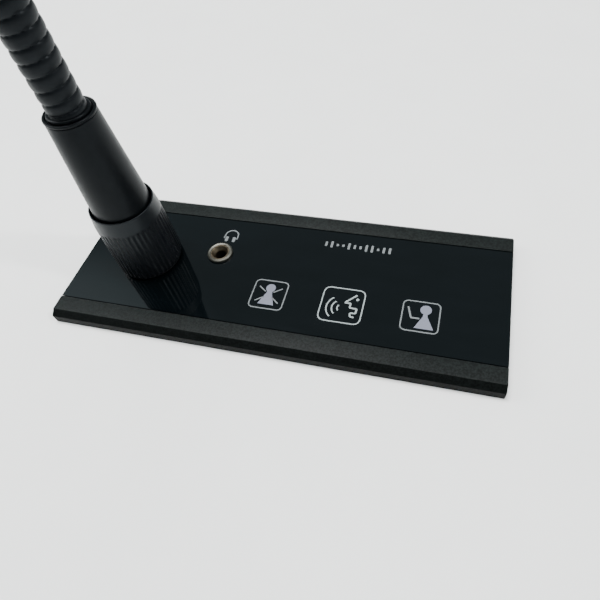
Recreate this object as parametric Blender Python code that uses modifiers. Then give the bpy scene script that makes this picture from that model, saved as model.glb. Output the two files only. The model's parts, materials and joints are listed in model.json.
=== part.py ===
"""Flush-mounted conference microphone: a touch plate over a table cut-out, with a plug-in gooseneck.

Metres, +Z up. The origin is the centre of the plate where it lies on the table: +X runs along the
plate to the right, -Y points at the person who speaks. What hangs in the cut-out is below Z = 0.
"""

import math

import bmesh
import bpy
from mathutils import Matrix, Vector

MM = 0.001
GAP = 0.3 * MM  # clearance between neighbouring solids

# Plate on the table
PLATE_LENGTH = 135 * MM
PLATE_DEPTH = 54 * MM
PLATE_THICK = 4.4 * MM
RAIL_WIDTH = 6.9 * MM
RAIL_CHAMFER_Y = 1.9 * MM
RAIL_CHAMFER_Z = 1.5 * MM
RAIL_LIP_WIDTH = 4.1 * MM
RAIL_SEAT_WIDTH = 4.7 * MM
LIP_TOP = 1.95 * MM
PANEL_TOP = 4.25 * MM
PANEL_THICK = 2.0 * MM

# Headphone jack
JACK_XY = (-22.75 * MM, 4.9 * MM)
JACK_RING_R = 4.1 * MM
JACK_BARREL_R = 3.0 * MM
JACK_HOLE_R = 1.8 * MM

# Touch keys: centre along X and the side of the lit window
KEY_Y = -8.2 * MM
KEYS = ((-2.1 * MM, 9.0 * MM), (20.45 * MM, 11.0 * MM), (43.2 * MM, 9.0 * MM))

# Tub, cover and clamps below the table
TUB_LENGTH = 113 * MM
TUB_DEPTH = 43 * MM
TUB_WALL = 1.2 * MM
TUB_BOTTOM = -40.5 * MM
COVER_THICK = 1.2 * MM
PORT_SIZE = Vector((16 * MM, 14 * MM, 17.7 * MM))
PORT_MOUTH = Vector((11.9 * MM, 7.2 * MM, 12 * MM))
PORT_X = (10 * MM, 32 * MM)
CLAMP_X = 60.2 * MM
CLAMP_HUB_R = 2.9 * MM
CLAMP_REACH = 14 * MM
CLAMP_SCREW_R = 1.5 * MM
TABLE_THICK = 28 * MM
ARM_THICK = 4 * MM
NUT_THICK = 2.4 * MM

# Microphone socket, plug and collar, all on one upright axis
MIC_X = -45.2 * MM
SOCKET_R = 8.0 * MM
SOCKET_BORE_R = 7.0 * MM
SOCKET_TOP = 13.0 * MM
PIN_CIRCLE_R = 3.2 * MM
PIN_R = 0.6 * MM
COLLAR_BOTTOM = PANEL_TOP + GAP
COLLAR_TOP = 28.25 * MM
COLLAR_R = 10.3 * MM
COLLAR_RIM_R = 9.35 * MM
FLUTES = 44
FLUTE_DEPTH = 0.4 * MM
COLLAR_RISE = 3 * MM
SLEEVE_TOP = 57.15 * MM
SLEEVE_FOOT_R = 8.5 * MM
SLEEVE_MOUTH_R = 6.5 * MM
SLEEVE_BORE_R = 5.8 * MM

# Gooseneck: ball-and-cup links, twelve joint centres in all
NECK_R = 4.75 * MM
GROOVE_R = 4.4 * MM
RIDGE_PITCH = 3 * MM
NECK_BORE_R = 1.5 * MM
BALL_R = 3.8 * MM
CUP_R = 4.25 * MM
BALL_SHOULDER = 1.4 * MM
CUP_RIM = 0.8 * MM
LINK_LENGTH = 15 * MM
LINKS_PER_ZONE = 5
STEM_LENGTH = 110 * MM
FIRST_JOINT_Z = 61 * MM
REST_TILT = math.radians(6)  # of each upper link against the one below it

# Head, along its own axis from the last joint centre
HEAD_R = 6.1 * MM
COUPLING_TOP = 8 * MM
LIGHT_RING_TOP = 12.3 * MM
HOUSING_TOP = 40 * MM
GRILLE_TOP = 45 * MM
SCREEN_R = 10.5 * MM
SCREEN_BOTTOM = 16 * MM
SCREEN_TOP = 53 * MM

PARTS = "gooseneck_microphone"
CUTTERS = "cutters"


# ---------------------------------------------------------------- scene, materials, helpers

def clear_scene():
    """Remove every object, so that a second run starts from nothing."""
    for obj in list(bpy.data.objects):
        bpy.data.objects.remove(obj, do_unlink=True)
    for name in (PARTS, CUTTERS):
        bpy.context.scene.collection.children.link(bpy.data.collections.new(name))


def make_material(name, colour, roughness, metallic=0.0):
    """One Principled material."""
    mat = bpy.data.materials.new(name)
    mat.use_nodes = True
    shader = mat.node_tree.nodes["Principled BSDF"]
    shader.inputs["Base Color"].default_value = (*colour, 1.0)
    shader.inputs["Roughness"].default_value = roughness
    shader.inputs["Metallic"].default_value = metallic
    return mat


def make_materials():
    """The finishes, by name."""
    return {
        "anodised": make_material("anodised", (0.030, 0.037, 0.035), 0.55, 0.7),
        "gloss_black": make_material("gloss_black", (0.010, 0.013, 0.014), 0.05),
        "satin_black": make_material("satin_black", (0.018, 0.019, 0.019), 0.40),
        "steel": make_material("steel", (0.55, 0.56, 0.57), 0.35, 1.0),
        "nickel": make_material("nickel", (0.72, 0.70, 0.66), 0.22, 1.0),
        "brass": make_material("brass", (0.78, 0.60, 0.30), 0.25, 1.0),
        "board": make_material("board", (0.02, 0.12, 0.05), 0.5),
        "insulator": make_material("insulator", (0.03, 0.03, 0.03), 0.5),
        "light_guide": make_material("light_guide", (0.80, 0.82, 0.88), 0.3),
        "foam": make_material("foam", (0.020, 0.020, 0.022), 0.95),
    }


def add_object(name, mesh, mat, location=(0, 0, 0), tilt=0.0):
    """Put a mesh in the parts collection; tilt turns it about X, towards the person who speaks."""
    obj = bpy.data.objects.new(name, mesh)
    obj.location = location
    obj.rotation_euler = (tilt, 0, 0)
    obj.data.materials.append(mat)
    bpy.data.collections[PARTS].objects.link(obj)
    return obj


def make_cutter(obj):
    """Move an object to the cutters, so that it only shapes others."""
    bpy.data.collections[PARTS].objects.unlink(obj)
    bpy.data.collections[CUTTERS].objects.link(obj)
    obj.hide_render = True
    obj.display_type = "WIRE"
    return obj


def boolean(obj, other, operation="DIFFERENCE"):
    """Cut another solid from this one, or join it on."""
    mod = obj.modifiers.new(operation.lower(), "BOOLEAN")
    mod.operation = operation
    mod.solver = "EXACT"
    mod.object = make_cutter(other)


def make_box(name, low, high, mat):
    """A box between two corners, with its origin at its centre."""
    low, high = Vector(low), Vector(high)
    work = bmesh.new()
    bmesh.ops.create_cube(work, size=1.0)
    bmesh.ops.scale(work, vec=high - low, verts=work.verts)
    mesh = bpy.data.meshes.new(name)
    work.to_mesh(mesh)
    work.free()
    return add_object(name, mesh, mat, (low + high) / 2)


def make_cylinder(name, radius, low_z, high_z, xy, mat, segments=24):
    """An upright cylinder."""
    work = bmesh.new()
    bmesh.ops.create_cone(
        work, cap_ends=True, segments=segments,
        radius1=radius, radius2=radius, depth=high_z - low_z,
    )
    mesh = bpy.data.meshes.new(name)
    work.to_mesh(mesh)
    work.free()
    return add_object(name, mesh, mat, (*xy, (low_z + high_z) / 2))


def make_turned(name, profile, mat, location=(0, 0, 0), tilt=0.0, segments=24, ring=True):
    """A turned solid: (radius, height) points down the outside, and back up the inside of a ring."""
    count = len(profile)
    edges = [(i, i + 1) for i in range(count - 1)]
    if ring:
        edges.append((count - 1, 0))
    mesh = bpy.data.meshes.new(name)
    mesh.from_pydata([(radius, 0, height) for radius, height in profile], edges, [])
    obj = add_object(name, mesh, mat, location, tilt)
    mod = obj.modifiers.new("turn", "SCREW")
    mod.steps = segments
    mod.render_steps = segments
    mod.use_merge_vertices = True
    mod.merge_threshold = 0.00001
    mod.use_smooth_shade = True
    return obj


def make_prism(name, outline, length, mat, location=(0, 0, 0), rotation=(0, 0, 0)):
    """A flat outline given thickness along its own Z, as a mesh that can be cut."""
    curve = bpy.data.curves.new(name, "CURVE")
    curve.dimensions = "2D"
    curve.fill_mode = "BOTH"
    curve.extrude = length / 2
    spline = curve.splines.new("POLY")
    spline.points.add(len(outline) - 1)
    for point, (x, y) in zip(spline.points, outline):
        point.co = (x, y, 0, 1)
    spline.use_cyclic_u = True
    guide = bpy.data.objects.new(name + "_curve", curve)
    bpy.data.collections[CUTTERS].objects.link(guide)
    evaluated = guide.evaluated_get(bpy.context.evaluated_depsgraph_get())
    mesh = bpy.data.meshes.new_from_object(evaluated)
    bpy.data.objects.remove(guide, do_unlink=True)
    work = bmesh.new()
    work.from_mesh(mesh)
    bmesh.ops.remove_doubles(work, verts=work.verts, dist=0.000001)
    bmesh.ops.recalc_face_normals(work, faces=work.faces)
    work.to_mesh(mesh)
    work.free()
    mesh.materials.clear()
    obj = add_object(name, mesh, mat, location)
    obj.rotation_euler = rotation
    return obj


def arc(centre, radius, start, end, steps):
    """Points of a circular arc, angles in degrees."""
    angles = [math.radians(start + (end - start) * i / steps) for i in range(steps + 1)]
    return [(centre[0] + radius * math.cos(a), centre[1] + radius * math.sin(a)) for a in angles]


def tube_profile(outer, inner, low, high):
    """The ring profile of a plain tube."""
    return [(outer, high), (outer, low), (inner, low), (inner, high)]


# ---------------------------------------------------------------- plate on the table

def make_rail(name, side, mats):
    """An extruded edge rail: chamfered outside, with a lip that carries the panel."""
    outer = PLATE_DEPTH / 2
    inner = outer - RAIL_WIDTH
    lip = inner - RAIL_LIP_WIDTH
    seat = outer - RAIL_SEAT_WIDTH
    section = [
        (outer, 0), (outer, PLATE_THICK - RAIL_CHAMFER_Z), (outer - RAIL_CHAMFER_Y, PLATE_THICK),
        (inner, PLATE_THICK), (inner, LIP_TOP), (lip, LIP_TOP), (lip, GAP), (seat, GAP), (seat, 0),
    ]
    outline = [(side * y, z) for y, z in section]
    # the section's own X lies along world Y, its Y along world Z, its thickness along world X
    return make_prism(name, outline, PLATE_LENGTH, mats["anodised"],
                      rotation=(math.pi / 2, 0, math.pi / 2))


def make_plate(mats):
    """Rails, panel and deck plate, with the openings for the socket, the jack and the keys."""
    make_rail("front_rail", -1, mats)
    make_rail("rear_rail", 1, mats)
    half_x = PLATE_LENGTH / 2
    half_panel = PLATE_DEPTH / 2 - RAIL_WIDTH - GAP
    half_deck = PLATE_DEPTH / 2 - RAIL_WIDTH - RAIL_LIP_WIDTH - GAP
    panel = make_box("top_panel", (-half_x, -half_panel, PANEL_TOP - PANEL_THICK),
                     (half_x, half_panel, PANEL_TOP), mats["gloss_black"])
    deck = make_box("deck_plate", (-half_x, -half_deck, 0), (half_x, half_deck, LIP_TOP),
                    mats["steel"])
    for part in (panel, deck):
        low, high = -MM, PANEL_TOP + MM
        boolean(part, make_cylinder(part.name + "_socket_hole", SOCKET_R + GAP, low, high,
                                    (MIC_X, 0), mats["steel"], 32))
        boolean(part, make_cylinder(part.name + "_jack_hole", JACK_BARREL_R + GAP, low, high,
                                    JACK_XY, mats["steel"], 24))
    for index, (x, side) in enumerate(KEYS, 1):
        half = side / 2 + GAP
        boolean(deck, make_box(f"key_window_{index}", (x - half, KEY_Y - half, -MM),
                               (x + half, KEY_Y + half, LIP_TOP + MM), mats["steel"]))


def make_keys(mats):
    """A light guide in each key's window, and the touch board that lights them from below."""
    for index, (x, side) in enumerate(KEYS, 1):
        half = side / 2
        make_box(f"key_light_guide_{index}", (x - half, KEY_Y - half, 0),
                 (x + half, KEY_Y + half, LIP_TOP), mats["light_guide"])
    make_box("touch_board", (-12 * MM, -16 * MM, -1.5 * MM), (54 * MM, 0, -0.5 * MM),
             mats["board"])


def make_jack(mats):
    """The headphone jack below the panel and the ring nut on top of it."""
    make_turned("jack_body", [
        (JACK_BARREL_R, 5.0 * MM), (JACK_BARREL_R, -GAP), (5.5 * MM, -GAP), (5.5 * MM, -12 * MM),
        (JACK_HOLE_R, -12 * MM), (JACK_HOLE_R, 4.3 * MM), (2.4 * MM, 5.0 * MM),
    ], mats["brass"], (*JACK_XY, 0), segments=20)
    low = PANEL_TOP + GAP
    make_turned("jack_ring", [
        (JACK_BARREL_R + GAP, 5.3 * MM), (3.8 * MM, 5.3 * MM), (JACK_RING_R, 5.05 * MM),
        (JACK_RING_R, low), (JACK_BARREL_R + GAP, low),
    ], mats["nickel"], (*JACK_XY, 0), segments=24)


# ---------------------------------------------------------------- below the table

def make_tub(mats):
    """A steel tub with four walls and, at each end, a lug that carries a clamp screw."""
    half_x, half_y = TUB_LENGTH / 2, TUB_DEPTH / 2
    tub = make_box("tub", (-half_x, -half_y, TUB_BOTTOM), (half_x, half_y, -GAP), mats["steel"])
    for side in (-1, 1):
        ends = sorted((side * (half_x - TUB_WALL / 2), side * (CLAMP_X + CLAMP_HUB_R)))
        boolean(tub, make_box(f"lug{side}", (ends[0], -4 * MM, -37 * MM),
                              (ends[1], 4 * MM, -35 * MM), mats["steel"]), "UNION")
    wall = TUB_WALL
    boolean(tub, make_box("tub_space", (wall - half_x, wall - half_y, TUB_BOTTOM - MM),
                          (half_x - wall, half_y - wall, MM), mats["steel"]))
    for side in (-1, 1):
        boolean(tub, make_cylinder(f"lug_hole{side}", CLAMP_SCREW_R + GAP, -38 * MM, -34 * MM,
                                   (side * CLAMP_X, 0), mats["steel"], 16))


def port_box(x, size, low_z, grow=0.0):
    """The corners of a box of a port's size, centred on the port's place, from low_z upwards."""
    half = Vector((size.x / 2 + grow, size.y / 2 + grow, 0))
    centre = Vector((x, 0, low_z))
    return centre - half, centre + half + Vector((0, 0, size.z))


def make_cover(mats):
    """The bottom cover with its screws, the two network ports and the main board."""
    half_x, half_y = TUB_LENGTH / 2, TUB_DEPTH / 2
    low = TUB_BOTTOM - GAP - COVER_THICK
    cover = make_box("bottom_cover", (-half_x, -half_y, low), (half_x, half_y, low + COVER_THICK),
                     mats["steel"])
    for index, x in enumerate(PORT_X, 1):
        corners = port_box(x, PORT_SIZE, low - MM, GAP)
        boolean(cover, make_box(f"port_window_{index}", *corners, mats["steel"]))
        port = make_box(f"network_port_{index}", *port_box(x, PORT_SIZE, low), mats["steel"])
        corners = port_box(x, PORT_MOUTH, low - MM)
        boolean(port, make_box(f"port_mouth_{index}", *corners, mats["steel"]))
    places = [(x, y) for x in (-50 * MM, 50 * MM) for y in (-17 * MM, 17 * MM)]
    for index, xy in enumerate(places, 1):
        boolean(cover, make_cylinder(f"screw_hole_{index}", 1.5 * MM, low - MM, -39 * MM, xy,
                                     mats["steel"], 12))
        head = low - GAP
        make_turned(f"cover_screw_{index}", [
            (0, -36 * MM), (1.2 * MM, -36 * MM), (1.2 * MM, head), (2.4 * MM, head),
            (2.1 * MM, head - 1.2 * MM), (0, head - 1.2 * MM),
        ], mats["steel"], (*xy, 0), segments=12, ring=False)
    make_box("main_board", (-52 * MM, -19 * MM, -24 * MM), (52 * MM, 19 * MM, -22.4 * MM),
             mats["board"])


def make_clamp(name, side, mats):
    """A clamp at one end of the tub: a screw, a nut that climbs it and an arm that swings out."""
    arm_top = -TABLE_THICK
    nut_top = arm_top - ARM_THICK - GAP
    make_turned(f"{name}_clamp_screw", [
        (0, -1 * MM), (CLAMP_SCREW_R, -1 * MM), (CLAMP_SCREW_R, -37.3 * MM),
        (2.7 * MM, -37.3 * MM), (2.7 * MM, -39.5 * MM), (0, -39.5 * MM),
    ], mats["steel"], (side * CLAMP_X, 0, 0), segments=16, ring=False)
    hexagon = arc((0, 0), 2.75 * MM / math.cos(math.pi / 6), 0, 300, 5)
    nut = make_prism(f"{name}_clamp_nut", hexagon, NUT_THICK, mats["steel"],
                     (side * CLAMP_X, 0, nut_top - NUT_THICK / 2))
    tip = CLAMP_REACH - CLAMP_HUB_R
    outline = arc((0, 0), CLAMP_HUB_R, 90, 270, 8) + arc((tip, 0), CLAMP_HUB_R, -90, 90, 8)
    outline = outline if side > 0 else [(-x, -y) for x, y in outline]
    arm = make_prism(f"{name}_clamp_arm", outline, ARM_THICK, mats["steel"],
                     (side * CLAMP_X, 0, arm_top - ARM_THICK / 2))
    for part in (nut, arm):
        boolean(part, make_cylinder(part.name + "_hole", CLAMP_SCREW_R + GAP, -36 * MM, -26 * MM,
                                    (side * CLAMP_X, 0), mats["steel"], 16))


# ---------------------------------------------------------------- socket, plug and collar

def pin_places():
    """The three contacts, evenly round their circle."""
    points = arc((MIC_X, 0), PIN_CIRCLE_R, 90, 330, 2)
    return list(enumerate(points, 1))


def make_socket(mats):
    """The fixed half of the connector: threaded shell, insulating insert and ring nut."""
    axis = (MIC_X, 0, 0)
    make_turned("socket_shell", [
        (SOCKET_BORE_R, SOCKET_TOP), (SOCKET_R, SOCKET_TOP), (SOCKET_R, -GAP),
        (8.9 * MM, -GAP), (8.9 * MM, -2.3 * MM), (SOCKET_R, -2.3 * MM), (SOCKET_R, -9 * MM),
        (SOCKET_BORE_R, -9 * MM),
    ], mats["nickel"], axis, segments=24)
    insert = make_cylinder("socket_insert", SOCKET_BORE_R - GAP, -8 * MM, 3 * MM, axis[:2],
                           mats["insulator"])
    for index, xy in pin_places():
        boolean(insert, make_cylinder(f"socket_hole_{index}", PIN_R + GAP, -9 * MM, 4 * MM, xy,
                                      mats["steel"], 12))
    make_turned("socket_ring_nut", tube_profile(9.1 * MM, SOCKET_R + GAP, COLLAR_BOTTOM, 6.2 * MM),
                mats["nickel"], axis, segments=24)


def make_plug(mats):
    """The moving half of the connector, with the pins that enter the socket's insert."""
    axis = (MIC_X, 0, 0)
    make_turned("plug_shell", [
        (4.9 * MM, 24 * MM), (5.5 * MM, 24 * MM), (5.5 * MM, 18.3 * MM), (8.65 * MM, 18.3 * MM),
        (8.65 * MM, 16.8 * MM), (6.7 * MM, 16.8 * MM), (6.7 * MM, 3.4 * MM), (5.9 * MM, 3.4 * MM),
        (5.9 * MM, 14 * MM), (4.9 * MM, 16 * MM),
    ], mats["nickel"], axis, segments=24)
    insert = make_cylinder("plug_insert", 5.6 * MM, 6 * MM, 12 * MM, axis[:2], mats["insulator"])
    for index, xy in pin_places():
        boolean(insert, make_cylinder(f"plug_hole_{index}", PIN_R + GAP, 5 * MM, 13 * MM, xy,
                                      mats["steel"], 12))
        make_turned(f"contact_pin_{index}", [
            (0, 13.5 * MM), (PIN_R, 13.5 * MM), (PIN_R, -5.6 * MM), (0, -6 * MM),
        ], mats["brass"], (*xy, 0), segments=10, ring=False)
    make_turned("slip_washer", tube_profile(8.6 * MM, 8.0 * MM, 18.6 * MM, 19.1 * MM),
                mats["steel"], axis, segments=24)


def make_collar(mats):
    """The locking collar: a plain flared band above, fine flutes below, a thin rim at the top."""
    flute_top = COLLAR_TOP - 5.0 * MM
    flute_bottom = COLLAR_BOTTOM + 1.2 * MM
    outside = [
        (9.05 * MM, COLLAR_TOP), (COLLAR_RIM_R, COLLAR_TOP), (9.95 * MM, COLLAR_TOP - 4.4 * MM),
        (10.0 * MM, flute_top), (COLLAR_R, flute_bottom), (COLLAR_R - 0.6 * MM, COLLAR_BOTTOM),
    ]
    inside = [
        (9.4 * MM, COLLAR_BOTTOM), (9.4 * MM, 6.6 * MM), (8.4 * MM, 6.6 * MM),
        (8.4 * MM, 13.4 * MM), (8.95 * MM, 13.4 * MM), (8.95 * MM, 19.4 * MM),
        (8.0 * MM, 19.4 * MM), (8.0 * MM, 20.4 * MM), (9.05 * MM, 20.9 * MM),
    ]
    collar = make_turned("locking_collar", outside + inside, mats["satin_black"], (MIC_X, 0, 0),
                         segments=2 * FLUTES)
    evaluated = collar.evaluated_get(bpy.context.evaluated_depsgraph_get())
    mesh = bpy.data.meshes.new_from_object(evaluated)
    collar.modifiers.clear()
    collar.data = mesh
    # every second column between the flutes' ends is pressed in
    half_step = math.pi / (2 * FLUTES)
    for vertex in mesh.vertices:
        x, y, z = vertex.co
        radius = math.hypot(x, y)
        column = round(math.atan2(y, x) / (2 * half_step))
        fluted = flute_bottom - 0.1 * MM < z < flute_top + 0.1 * MM and radius > 9.6 * MM
        if fluted and column % 2:
            vertex.co *= Vector((1 - FLUTE_DEPTH / radius, 1 - FLUTE_DEPTH / radius, 1))


def make_sleeve(mats):
    """The tapered sleeve, the bead round its mouth and the neck's ferrule inside it."""
    axis = (MIC_X, 0, 0)
    make_turned("sleeve", [
        (SLEEVE_BORE_R, 56.2 * MM), (SLEEVE_MOUTH_R, 56.2 * MM), (SLEEVE_FOOT_R, 26.5 * MM),
        (SLEEVE_FOOT_R, 24.9 * MM), (7.7 * MM, 24.5 * MM), (7.7 * MM, 18.6 * MM),
        (SLEEVE_BORE_R, 18.6 * MM),
    ], mats["satin_black"], axis, segments=32)
    make_turned("sleeve_bead", [
        (SLEEVE_BORE_R, SLEEVE_TOP), (6.3 * MM, SLEEVE_TOP), (6.6 * MM, 56.8 * MM),
        (6.5 * MM, 56.5 * MM), (SLEEVE_BORE_R, 56.5 * MM),
    ], mats["satin_black"], axis, segments=24)
    ferrule = [(5.05 * MM, FIRST_JOINT_Z - CUP_RIM), (5.05 * MM, 55 * MM), (5.5 * MM, 54.5 * MM),
               (5.5 * MM, 25 * MM), (NECK_BORE_R, 25 * MM)]
    make_turned("neck_ferrule", ferrule + cup_profile(FIRST_JOINT_Z), mats["satin_black"], axis,
                segments=16)


# ---------------------------------------------------------------- gooseneck

def ball_profile():
    """Down the ball of a link from its shoulder to the bore, round the joint centre at height 0."""
    top = math.degrees(math.asin(BALL_SHOULDER / BALL_R))
    bottom = -math.degrees(math.acos(NECK_BORE_R / BALL_R))
    return arc((0, 0), BALL_R, top, bottom, 4)


def cup_profile(height):
    """Up the cup from the bore to its rim, round the joint centre at the given height."""
    bottom = -math.degrees(math.acos(NECK_BORE_R / CUP_R))
    rim = -math.degrees(math.asin(CUP_RIM / CUP_R))
    return arc((0, height), CUP_R, bottom, rim, 3)


def ridged_wall(low, high):
    """Down the outside of a link, with a V groove at every ridge pitch."""
    points = [(NECK_R, high)]
    count = int((high - low) / RIDGE_PITCH)
    first = (high + low + (count - 1) * RIDGE_PITCH) / 2
    for index in range(count):
        centre = first - index * RIDGE_PITCH
        points += [(NECK_R, centre + 0.6 * MM), (GROOVE_R, centre), (NECK_R, centre - 0.6 * MM)]
    return points + [(NECK_R, low)]


def make_link(name, place, mats):
    """One ridged link, from its ball at the joint centre to the cup at its far end."""
    centre, tilt = place
    wall = ridged_wall(BALL_SHOULDER, LINK_LENGTH - CUP_RIM)
    make_turned(name, wall + ball_profile() + cup_profile(LINK_LENGTH), mats["satin_black"],
                centre, tilt, segments=10)


def neck_places():
    """The joint centres along the neck, each with the tilt of the piece that starts there."""
    lengths = [LINK_LENGTH] * LINKS_PER_ZONE + [STEM_LENGTH] + [LINK_LENGTH] * LINKS_PER_ZONE
    centre, tilt = Vector((MIC_X, 0, FIRST_JOINT_Z)), 0.0
    places = [(centre.copy(), tilt)]
    for index, length in enumerate(lengths):
        centre = centre + Matrix.Rotation(tilt, 3, "X") @ Vector((0, 0, length))
        if index >= LINKS_PER_ZONE:
            tilt += REST_TILT
        places.append((centre.copy(), tilt))
    return places


def make_neck(mats):
    """Lower flexible zone, rigid stem, upper flexible zone."""
    places = neck_places()
    stem = LINKS_PER_ZONE
    for index in range(LINKS_PER_ZONE):
        make_link(f"lower_link_{index + 1}", places[index], mats)
        make_link(f"upper_link_{index + 1}", places[stem + 1 + index], mats)
    wall = [(NECK_R, STEM_LENGTH - CUP_RIM), (NECK_R, BALL_SHOULDER)]
    make_turned("stem_tube", wall + ball_profile() + cup_profile(STEM_LENGTH),
                mats["satin_black"], *places[stem], segments=16)
    return places[-1]


# ---------------------------------------------------------------- head

def make_head(place, mats):
    """Coupling, light ring, capsule in its housing, grille and foam windscreen, on one axis."""
    coupling = [
        (4.6 * MM, 14 * MM), (4.6 * MM, COUPLING_TOP), (5.9 * MM, COUPLING_TOP),
        (5.9 * MM, 5 * MM), (NECK_R, BALL_SHOULDER),
    ]
    make_turned("head_coupling", coupling + ball_profile() + [(NECK_BORE_R, 14 * MM)],
                mats["satin_black"], *place, segments=16)
    make_turned("light_ring", tube_profile(HEAD_R, 4.9 * MM, COUPLING_TOP + GAP, LIGHT_RING_TOP),
                mats["light_guide"], *place, segments=24)
    make_turned("capsule_housing",
                tube_profile(HEAD_R, 5.0 * MM, LIGHT_RING_TOP + GAP, HOUSING_TOP),
                mats["satin_black"], *place, segments=24)
    make_turned("capsule", [
        (0, 39.5 * MM), (4.7 * MM, 39.5 * MM), (4.7 * MM, 34 * MM), (0, 34 * MM),
    ], mats["steel"], *place, segments=16, ring=False)
    dome = [(HEAD_R * math.cos(math.radians(a)),
             HOUSING_TOP + 1.3 * MM + 3.7 * MM * math.sin(math.radians(a))) for a in (60, 30, 0)]
    shell = 0.8 * MM
    make_turned("grille", [(0, GRILLE_TOP)] + dome + [
        (HEAD_R, HOUSING_TOP + GAP), (HEAD_R - shell, HOUSING_TOP + GAP),
        (HEAD_R - shell, 41.3 * MM), (4 * MM, 43.4 * MM), (0, 44.2 * MM),
    ], mats["steel"], *place, segments=24, ring=False)
    make_screen(place, mats)


def make_screen(place, mats):
    """The foam windscreen: a round-ended cap that slips over the housing and the grille."""
    bore = HEAD_R + GAP
    shoulder = SCREEN_TOP - SCREEN_R
    crown = [(x, z) for x, z in arc((0, shoulder), SCREEN_R, 90, 0, 5)]
    crown[0] = (0, SCREEN_TOP)
    foot = [(SCREEN_R, SCREEN_BOTTOM + 3 * MM), (SCREEN_R - 1.5 * MM, SCREEN_BOTTOM)]
    inside = [(bore, SCREEN_BOTTOM), (bore, 42.5 * MM), (4 * MM, 45.4 * MM), (0, 45.6 * MM)]
    make_turned("windscreen", crown + foot + inside, mats["foam"], *place, segments=24,
                ring=False)


def build():
    """The whole microphone unit."""
    clear_scene()
    mats = make_materials()
    make_plate(mats)
    make_keys(mats)
    make_jack(mats)
    make_tub(mats)
    make_cover(mats)
    make_clamp("left", -1, mats)
    make_clamp("right", 1, mats)
    make_socket(mats)
    make_plug(mats)
    make_collar(mats)
    make_sleeve(mats)
    make_head(make_neck(mats), mats)


build()
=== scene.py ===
# %% [markdown]
# A conference microphone unit that is let into a table: a black touch panel between two dark metal
# rails, a headphone jack, and a gooseneck microphone plugged in at the left end.
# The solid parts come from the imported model. This lesson gives them their finish, and rebuilds what
# the eye sees up close as smooth surfaces that are worked out with numpy.

# %% Load the frame and keep its box
import json
import math

import bmesh
import bpy
import numpy as np
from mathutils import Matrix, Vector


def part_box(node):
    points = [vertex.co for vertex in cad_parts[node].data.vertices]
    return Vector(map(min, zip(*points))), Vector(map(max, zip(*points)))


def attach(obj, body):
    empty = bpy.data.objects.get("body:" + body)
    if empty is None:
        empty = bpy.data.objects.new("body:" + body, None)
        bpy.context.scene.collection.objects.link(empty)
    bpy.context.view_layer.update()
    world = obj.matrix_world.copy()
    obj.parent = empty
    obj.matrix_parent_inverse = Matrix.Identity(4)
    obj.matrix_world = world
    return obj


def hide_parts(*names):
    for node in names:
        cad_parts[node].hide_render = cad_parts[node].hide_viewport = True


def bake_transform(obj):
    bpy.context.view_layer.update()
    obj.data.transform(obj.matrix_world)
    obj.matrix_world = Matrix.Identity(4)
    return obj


MM = 0.001
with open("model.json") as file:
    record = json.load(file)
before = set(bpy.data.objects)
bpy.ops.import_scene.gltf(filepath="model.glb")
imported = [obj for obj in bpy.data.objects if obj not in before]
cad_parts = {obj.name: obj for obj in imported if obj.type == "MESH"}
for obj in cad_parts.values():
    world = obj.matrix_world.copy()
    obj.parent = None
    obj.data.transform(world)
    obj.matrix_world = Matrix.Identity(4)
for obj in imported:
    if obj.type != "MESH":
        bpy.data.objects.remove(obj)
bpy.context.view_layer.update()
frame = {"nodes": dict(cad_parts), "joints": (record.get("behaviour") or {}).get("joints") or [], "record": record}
joints = {joint["name"]: joint for joint in frame["joints"]}

# %% [markdown]
# The camera is set first. It stands close to the panel, a little to the right, and looks down, as a
# person does who bends over the unit to take a picture. A short focal length gives the strong
# perspective. The shift slides the picture without turning the camera.

# %% Camera
camera_data = bpy.data.cameras.new("camera")
camera_data.sensor_width = 36.0
camera_data.lens = 29.37
camera_data.shift_x = -0.0411
camera_data.shift_y = 0.0189
camera_data.clip_start = 0.01
camera = bpy.data.objects.new("camera", camera_data)
camera.location = (45.13 * MM, -87.24 * MM, 120.60 * MM)
camera.rotation_euler = [math.radians(a) for a in (34.65, 5.07, 13.66)]
bpy.context.scene.collection.objects.link(camera)
bpy.context.scene.camera = camera
print("camera stands", round(camera.location.z / MM), "mm above the table")

# %% [markdown]
# Every new piece here is a grid of points: rows along a profile, columns round an axis or along a
# rail. One helper turns such a grid into a mesh. It joins the last column to the first when the
# piece goes all the way round, merges the points that fall together at a pole, and turns the faces
# outwards if the volume they enclose comes out negative.

# %% From a grid of points to a mesh object
def grid_faces(rows, columns, wrap_rows, wrap_columns):
    """Quads between neighbouring rows and columns, as an array of four corner numbers each."""
    i = np.arange(rows if wrap_rows else rows - 1)
    j = np.arange(columns if wrap_columns else columns - 1)
    i, j = [a.ravel() for a in np.meshgrid(i, j, indexing="ij")]
    next_i, next_j = (i + 1) % rows, (j + 1) % columns
    return np.stack([i * columns + j, i * columns + next_j,
                     next_i * columns + next_j, next_i * columns + j], axis=1)


def finish_mesh(work, mesh, sharp_degrees):
    """Merge doubles, drop faces without area, face outwards and shade smooth up to an angle."""
    bmesh.ops.remove_doubles(work, verts=work.verts, dist=1e-7)
    bmesh.ops.dissolve_degenerate(work, edges=work.edges, dist=1e-8)
    if work.calc_volume(signed=True) < 0:
        bmesh.ops.reverse_faces(work, faces=work.faces)
    work.to_mesh(mesh)
    work.free()
    mesh.shade_smooth()
    mesh.set_sharp_from_angle(angle=math.radians(sharp_degrees))


def add_piece(name, mesh, material, body, replaced=()):
    """Link a finished mesh as a piece: its body and the nodes it stands for."""
    mesh.materials.append(material)
    obj = bpy.data.objects.new(name, mesh)
    bpy.context.scene.collection.objects.link(obj)
    if replaced:
        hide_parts(*replaced)
    if body:
        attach(obj, body)
    return obj


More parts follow.
